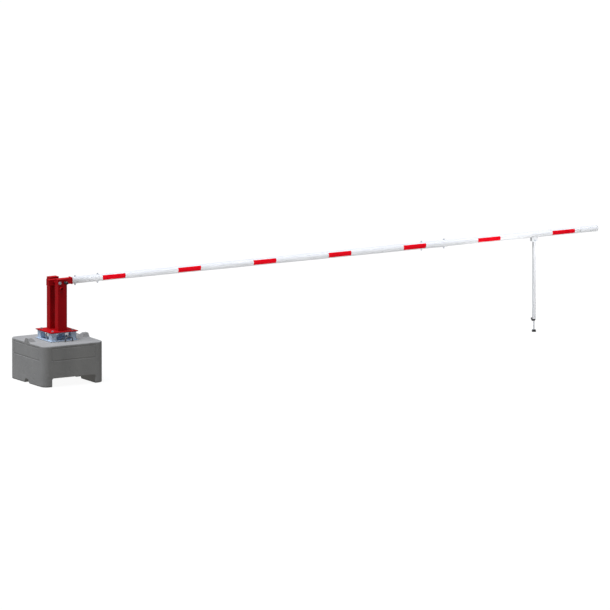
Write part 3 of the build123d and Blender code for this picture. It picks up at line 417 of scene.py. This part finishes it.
def cast_block():
    """The ballast block as cast: softened arrises, a slightly wavy skin and a few chipped edges."""
    source = frame["nodes"]["concrete_block"]
    piece = bpy.data.objects.new("cast_block", source.data.copy())
    bpy.context.scene.collection.objects.link(piece)
    weld = piece.modifiers.new("weld", "WELD")
    weld.merge_threshold = BLOCK_WELD
    remesh = piece.modifiers.new("remesh", "REMESH")
    remesh.mode = "VOXEL"
    remesh.voxel_size = BLOCK_VOXEL
    soften = piece.modifiers.new("soften", "SMOOTH")
    soften.factor = 0.5
    soften.iterations = 1
    apply_modifiers(piece)
    mesh = piece.data
    normals = [v.normal.copy() for v in mesh.vertices]
    for vertex, normal in zip(mesh.vertices, normals):
        point = vertex.co
        wave = noise.noise(point * LONG_WAVES) * 0.5 + noise.noise(point * SHORT_WAVES) * 0.25
        chip = max(0.0, noise.noise(point * CHIPS + CHIP_SHIFT) - CHIP_LEVEL)
        vertex.co = point - normal * (SKIN_INSET + SKIN_WAVE * (wave + WAVE_LIFT) + CHIP_DEPTH * chip)
    mesh.update()
    lighten = piece.modifiers.new("lighten", "DECIMATE")
    lighten.ratio = BLOCK_SHARE_KEPT
    apply_modifiers(piece)
    for vertex in piece.data.vertices:
        vertex.co = [min(max(c, low), high) for c, low, high in zip(vertex.co, BLOCK_LOW, BLOCK_HIGH)]
    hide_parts("concrete_block")
    finish_piece(piece, "base", "concrete")


def tube_faces(rings, sides, closed=False):
    """Faces between rings of points, with a lid at each end unless the last ring meets the first."""
    faces = []
    for ring in range(rings if closed else rings - 1):
        here = ring * sides
        there = (ring + 1) % rings * sides
        for k in range(sides):
            next_k = (k + 1) % sides
            faces.append((here + k, here + next_k, there + next_k, there + k))
    if not closed:
        faces.append(tuple(reversed(range(sides))))
        faces.append(tuple(range((rings - 1) * sides, rings * sides)))
    return faces


def joined(shapes):
    """The vertices and faces of several shapes as one shape."""
    vertices, faces = [], []
    for more_vertices, more_faces in shapes:
        first = len(vertices)
        vertices += more_vertices
        faces += [tuple(first + i for i in face) for face in more_faces]
    return vertices, faces


def upright_point(center, reach, angle, z):
    """A point at a distance from an upright axis, at an angle and a height."""
    return Vector((center[0] + reach * math.cos(angle), center[1] + reach * math.sin(angle), z))


def bead(points, radius, closed):
    """Vertices and faces of a rippled weld bead along a path of points."""
    steps = []
    loop = list(points) + ([points[0]] if closed else [])
    for start, end in zip(loop, loop[1:]):
        count = max(1, round((end - start).length / BEAD_STEP))
        steps += [start.lerp(end, k / count) for k in range(count)]
    if not closed:
        steps.append(loop[-1])
    vertices = []
    total = len(steps)
    for index, point in enumerate(steps):
        before = steps[index - 1] if (closed or index) else point
        after = steps[(index + 1) % total] if (closed or index < total - 1) else point
        along = (after - before).normalized()
        side = along.cross(Vector((0.0, 0.0, 1.0)))
        if side.length < 0.1:
            side = along.cross(Vector((0.0, 1.0, 0.0)))
        side.normalize()
        up = side.cross(along)
        lump = BEAD_LUMPS * noise.noise(point * BEAD_LUMP_SCALE)
        swell = 1.0 + BEAD_RIPPLE * math.sin(index * BEAD_RIPPLE_TURN) + lump
        from_end = min(index, total - 1 - index)
        end_taper = 1.0 if closed else min(1.0, BEAD_TIP + BEAD_TIP_GROWTH * from_end)
        for k in range(BEAD_SIDES):
            turn = 2 * math.pi * k / BEAD_SIDES
            offset = side * math.cos(turn) + up * math.sin(turn)
            vertices.append(point + offset * (radius * swell * end_taper))
    return vertices, tube_faces(total, BEAD_SIDES, closed)


def weld_piece(name, paths, radius, body, slot):
    """One piece of several weld beads. Each path is a list of points and whether it is closed."""
    vertices, faces = joined([bead(points, radius, closed) for points, closed in paths])
    new_piece(name, vertices, faces, body, slot)


def outline(low, high, corner, place_point):
    """A rounded rectangle between two corners, put in space by place_point(u, v)."""
    points = []
    centers = [
        (high[0] - corner, high[1] - corner, 0),
        (low[0] + corner, high[1] - corner, 90),
        (low[0] + corner, low[1] + corner, 180),
        (high[0] - corner, low[1] + corner, 270),
    ]
    for u, v, start in centers:
        for step in range(CORNER_STEPS + 1):
            angle = math.radians(start + 90 / CORNER_STEPS * step)
            points.append(place_point(u + corner * math.cos(angle), v + corner * math.sin(angle)))
    return points


def flat_outline(node, z, corner):
    """The outline of an upright node's box at a height."""
    low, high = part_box(node)
    return outline((low[0], low[1]), (high[0], high[1]), corner, lambda u, v: Vector((u, v, z)))


def leg_outlines(z):
    """The outlines of the four adapter legs at a height."""
    low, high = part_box("adapter_legs")
    side = ADAPTER_LEG_SIDE
    paths = []
    for x in (low[0], high[0] - side):
        for y in (low[1], high[1] - side):
            far = (x + side, y + side)
            path = outline((x, y), far, ADAPTER_LEG_CORNER, lambda u, v: Vector((u, v, z)))
            paths.append((path, True))
    return paths


def add_post_welds():
    """Beads round the feet of the posts and round their lids."""
    plate_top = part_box("base_plate")[1][2]
    posts = ("front_post", "back_post")
    feet = [(flat_outline(node, plate_top, TUBE_CORNER), True) for node in posts]
    weld_piece("post_welds", feet, POST_BEAD, "base", "red_paint")
    lids = [(flat_outline(node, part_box(node)[1][2], TUBE_CORNER), True) for node in posts]
    weld_piece("lid_welds", lids, LID_BEAD, "base", "red_paint")


def add_adapter_welds():
    """Beads at both ends of the adapter legs."""
    low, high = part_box("adapter_legs")
    legs = leg_outlines(low[2]) + leg_outlines(high[2])
    weld_piece("adapter_welds", legs, ADAPTER_BEAD, "base", "galvanised_steel")


def add_arm_welds():
    """Beads round both ends of the arm. The one at the tail is drawn in, clear of the stop pads."""
    low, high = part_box("arm_tube")
    ends = (("arm_welds", high[0], ARM_BEAD, 0.0), ("tail_welds", low[0], TAIL_BEAD, TAIL_INSET))
    for name, x, radius, inset in ends:
        near = (low[1] + inset, low[2] + inset)
        far = (high[1] - inset, high[2] - inset)
        ring = outline(near, far, TUBE_CORNER, lambda u, v, x=x: Vector((x, u, v)))
        weld_piece(name, [(ring, True)], radius, "boom", "red_paint")


def add_sleeve_weld():
    """The bead where the lock's sleeve meets the post."""
    low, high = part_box("lock_sleeve")
    center = ((low[0] + high[0]) / 2, (low[2] + high[2]) / 2)
    reach = (high[0] - low[0]) / 2
    ring = [
        Vector((center[0] + reach * math.cos(a), high[1], center[1] + reach * math.sin(a)))
        for a in (2 * math.pi * k / SLEEVE_POINTS for k in range(SLEEVE_POINTS))
    ]
    weld_piece("sleeve_weld", [(ring, True)], SLEEVE_BEAD, "base", "red_paint")


def add_bracket_welds():
    """Two straight beads along the top of the leg bracket."""
    low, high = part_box("leg_bracket")
    z = high[2] - BRACKET_DROP
    seams = [
        ([Vector((low[0] + BRACKET_GAP, y, z)), Vector((high[0] - BRACKET_GAP, y, z))], False)
        for y in (low[1] + BRACKET_INSET, high[1] - BRACKET_INSET)
    ]
    weld_piece("bracket_welds", seams, BRACKET_BEAD, "boom", "white_aluminium")


def thread(center, bottom, top, radius, pitch):
    """Vertices and faces of an upright threaded rod with closed, chamfered ends."""
    depth = THREAD_DEPTH * pitch
    rows = max(2, math.ceil((top - bottom) / pitch * THREAD_ROWS))
    vertices = []
    for row in range(rows + 1):
        z = bottom + (top - bottom) * row / rows
        ends = min(z - bottom, top - z)
        for k in range(THREAD_SIDES):
            turn = k / THREAD_SIDES
            phase = ((z - bottom) / pitch - turn) % 1.0
            crest = abs(2.0 * phase - 1.0)
            reach = min(radius - depth * (1.0 - crest), radius - depth + ends)
            vertices.append(upright_point(center, reach, 2 * math.pi * turn, z))
    return vertices, tube_faces(rows + 1, THREAD_SIDES)


def threaded_piece(name, node, rods, radius, pitch, body):
    """One piece of threaded rods that stands for a CAD node of plain ones."""
    low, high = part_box(node)
    vertices, faces = joined([thread(center, low[2], high[2], radius, pitch) for center in rods])
    piece = new_piece(name, vertices, faces, body, "zinc_steel")
    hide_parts(node)


def add_threads():
    """Real threads on the anchor studs and on the leg's spindle."""
    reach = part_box("anchor_studs")[1][0] - STUD_NOMINAL_RADIUS
    studs = [(reach, 0.0), (-reach, 0.0), (0.0, reach), (0.0, -reach)]
    threaded_piece("anchor_stud_threads", "anchor_studs", studs, STUD_RADIUS, STUD_PITCH, "base")
    low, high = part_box("spindle")
    middle = ((low[0] + high[0]) / 2, (low[1] + high[1]) / 2)
    threaded_piece("threaded_spindle", "spindle", [middle], SPINDLE_RADIUS, SPINDLE_PITCH, "foot")


def lathe(profile, center, sides):
    """Vertices and faces turned from a profile of radius and height, closed at both ends."""
    vertices = []
    for radius, z in profile:
        for k in range(sides):
            vertices.append(upright_point(center, radius, 2 * math.pi * k / sides, z))
    return vertices, tube_faces(len(profile), sides)


def add_foot():
    """The moulded rubber foot, with gripping ribs round its side."""
    low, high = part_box("rubber_foot")
    center = ((low[0] + high[0]) / 2, (low[1] + high[1]) / 2)
    reach = (high[0] - low[0]) / 2
    height = high[2] - low[2]
    sole = [(reach - 0.004, low[2]), (reach - 0.001, low[2] + 0.0006), (reach, low[2] + 0.002)]
    ribs = []
    step = (height - RIB_ENDS) / RIB_COUNT
    for rib in range(RIB_COUNT):
        base = low[2] + RIB_START + rib * (height - RIB_ENDS) / RIB_COUNT
        lean = reach - RIB_TAPER * rib / RIB_COUNT
        for share, depth in ((0.1, 0.0), (0.5, 0.0), (0.62, RIB_DEPTH), (0.88, RIB_DEPTH)):
            ribs.append((lean - depth, base + share * step))
    shoulder = [
        (reach - 0.0025, high[2] - 0.0045),
        (reach - 0.0035, high[2] - 0.0018),
        (reach - 0.006, high[2]),
    ]
    dish = [(0.012, high[2]), (0.0105, high[2] - 0.0008), (0.0062, high[2] - 0.001)]
    vertices, faces = lathe(sole + ribs + shoulder + dish, center, FOOT_SIDES)
    piece = new_piece("moulded_foot", vertices, faces, "foot", "rubber")
    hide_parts("rubber_foot")


# Widths of the rounded edges, and the nodes that have them.
BEVELLED = {
    0.0006: [
        "adapter_bottom_plate",
        "adapter_top_plate",
        "base_plate",
        "arm_end_plate",
        "post_lids",
        "arm_tail_cap",
        "leg_bracket",
        "base_bolts",
        "m16_nuts",
        "pivot_axle",
        "axle_nut",
        "boom_bolts",
        "boom_nuts",
        "leg_bolt",
        "leg_nut",
        "lock_sleeve",
        "clamping_lever",
        "leg_end_plug",
        "stop_blocks",
        "gas_spring_lugs",
        "gas_spring_bracket",
        "lock_core",
    ],
    0.0003: ["m16_washers", "axle_washers", "boom_washers", "boom_saddles", "leg_washers", "lock_screws"],
}


def soften_edges():
    """Small rounded edges on the plates, bolts, washers and fittings."""
    for width, names in BEVELLED.items():
        for name in names:
            node = frame["nodes"][name]
            weld = node.modifiers.new("weld", "WELD")
            weld.merge_threshold = EDGE_WELD
            flatten = node.modifiers.new("flatten", "DECIMATE")
            flatten.decimate_type = "DISSOLVE"
            flatten.angle_limit = FLAT_ANGLE
            edges = node.modifiers.new("edges", "BEVEL")
            edges.width = width
            edges.segments = EDGE_SEGMENTS
            edges.limit_method = "ANGLE"
            edges.angle_limit = EDGE_ANGLE
            edges.harden_normals = False


def paint_frame():
    """Every CAD node takes the material of its slot in the record."""
    for entry in frame["record"]["subparts"]:
        node = frame["nodes"][entry["node"]]
        for material_slot in node.material_slots:
            material_slot.link = "OBJECT"
            material_slot.material = MATERIALS[entry["material_slot"]]


# ==== Stage ====


def add_camera():
    """The camera looks from the lock's side, a little from above and behind the pivot."""
    camera = bpy.data.cameras.new("camera")
    camera.sensor_width = SENSOR
    camera.lens = LENS
    distance = FRAME_WIDTH * LENS / SENSOR
    camera.clip_start = CLIP_START
    camera.clip_end = CLIP_END
    back = Vector(
        (
            math.sin(AZIMUTH) * math.cos(ELEVATION),
            -math.cos(AZIMUTH) * math.cos(ELEVATION),
            math.sin(ELEVATION),
        )
    )
    holder = bpy.data.objects.new("camera", camera)
    holder.location = AIM + back * distance
    holder.rotation_mode = "QUATERNION"
    holder.rotation_quaternion = (-back).to_track_quat("-Z", "Y")
    bpy.context.scene.collection.objects.link(holder)
    bpy.context.scene.camera = holder


def split_by_ray(tree, seen, lit):
    """The shader that the camera sees, and the one that lights the object."""
    ray = tree.nodes.new("ShaderNodeLightPath")
    mix = tree.nodes.new("ShaderNodeMixShader")
    tree.links.new(ray.outputs["Is Camera Ray"], mix.inputs["Fac"])
    tree.links.new(lit, mix.inputs[1])
    tree.links.new(seen, mix.inputs[2])
    return mix.outputs["Shader"]


def add_floor():
    """A wide white floor with a faint shadow, which throws an even light back."""
    half = FLOOR_HALF
    corners = [(-half, -half, 0), (half, -half, 0), (half, half, 0), (-half, half, 0)]
    mesh = bpy.data.meshes.new("floor")
    mesh.from_pydata(corners, [], [(0, 1, 2, 3)])
    floor = bpy.data.objects.new("floor", mesh)
    bpy.context.scene.collection.objects.link(floor)
    material, tree, shader = start_material("floor", (FLOOR_SHADOW,) * 3, 0.9)
    shader.inputs["Specular IOR Level"].default_value = 0.0
    shader.inputs["Emission Color"].default_value = (1.0, 1.0, 1.0, 1.0)
    shader.inputs["Emission Strength"].default_value = FLOOR_GLOW
    bounce = tree.nodes.new("ShaderNodeEmission")
    bounce.inputs["Color"].default_value = (*FLOOR_COLOR, 1.0)
    bounce.inputs["Strength"].default_value = FLOOR_BOUNCE
    surface = split_by_ray(tree, shader.outputs["BSDF"], bounce.outputs["Emission"])
    tree.links.new(surface, tree.nodes["Material Output"].inputs["Surface"])
    mesh.materials.append(material)


def add_light():
    """A pale sky and one broad soft lamp from above."""
    world = bpy.data.worlds.new("world")
    world.use_nodes = True
    tree = world.node_tree
    sky = tree.nodes["Background"]
    sky.inputs["Color"].default_value = (1.0, 1.0, 1.0, 1.0)
    sky.inputs["Strength"].default_value = SKY_STRENGTH
    backdrop = tree.nodes.new("ShaderNodeBackground")
    backdrop.inputs["Strength"].default_value = 1.0
    backdrop.inputs["Color"].default_value = (1.0, 1.0, 1.0, 1.0)
    surface = split_by_ray(tree, backdrop.outputs["Background"], sky.outputs["Background"])
    tree.links.new(surface, tree.nodes["World Output"].inputs["Surface"])
    bpy.context.scene.world = world
    lamp = bpy.data.lights.new("sun", "SUN")
    lamp.energy = SUN_STRENGTH
    lamp.color = SUN_COLOR
    lamp.angle = SUN_SOFTNESS
    holder = bpy.data.objects.new("sun", lamp)
    holder.rotation_mode = "QUATERNION"
    holder.rotation_quaternion = SUN_FROM.to_track_quat("Z", "Y")
    holder.location = (0.0, 0.0, 10.0)
    bpy.context.scene.collection.objects.link(holder)
    bpy.context.scene.view_settings.view_transform = "Standard"


def add_soft_box(name, middle, length, height, power, spread):
    """A soft box beside the boom or its leg, out of the camera's sight, that shines along +Y."""
    lamp = bpy.data.lights.new(name, "AREA")
    lamp.shape = "RECTANGLE"
    lamp.size = length
    lamp.size_y = height
    lamp.energy = power
    lamp.spread = math.radians(spread)
    holder = bpy.data.objects.new(name, lamp)
    holder.location = middle
    holder.rotation_euler = (math.radians(90), 0.0, 0.0)
    holder.visible_camera = False
    bpy.context.scene.collection.objects.link(holder)


add_camera()
add_floor()
add_light()
for light_name, settings in SOFT_BOXES.items():
    add_soft_box(light_name, *settings)
paint_frame()
soften_edges()
cast_block()
add_post_welds()
add_adapter_welds()
add_arm_welds()
add_sleeve_weld()
add_bracket_welds()
add_threads()
add_foot()
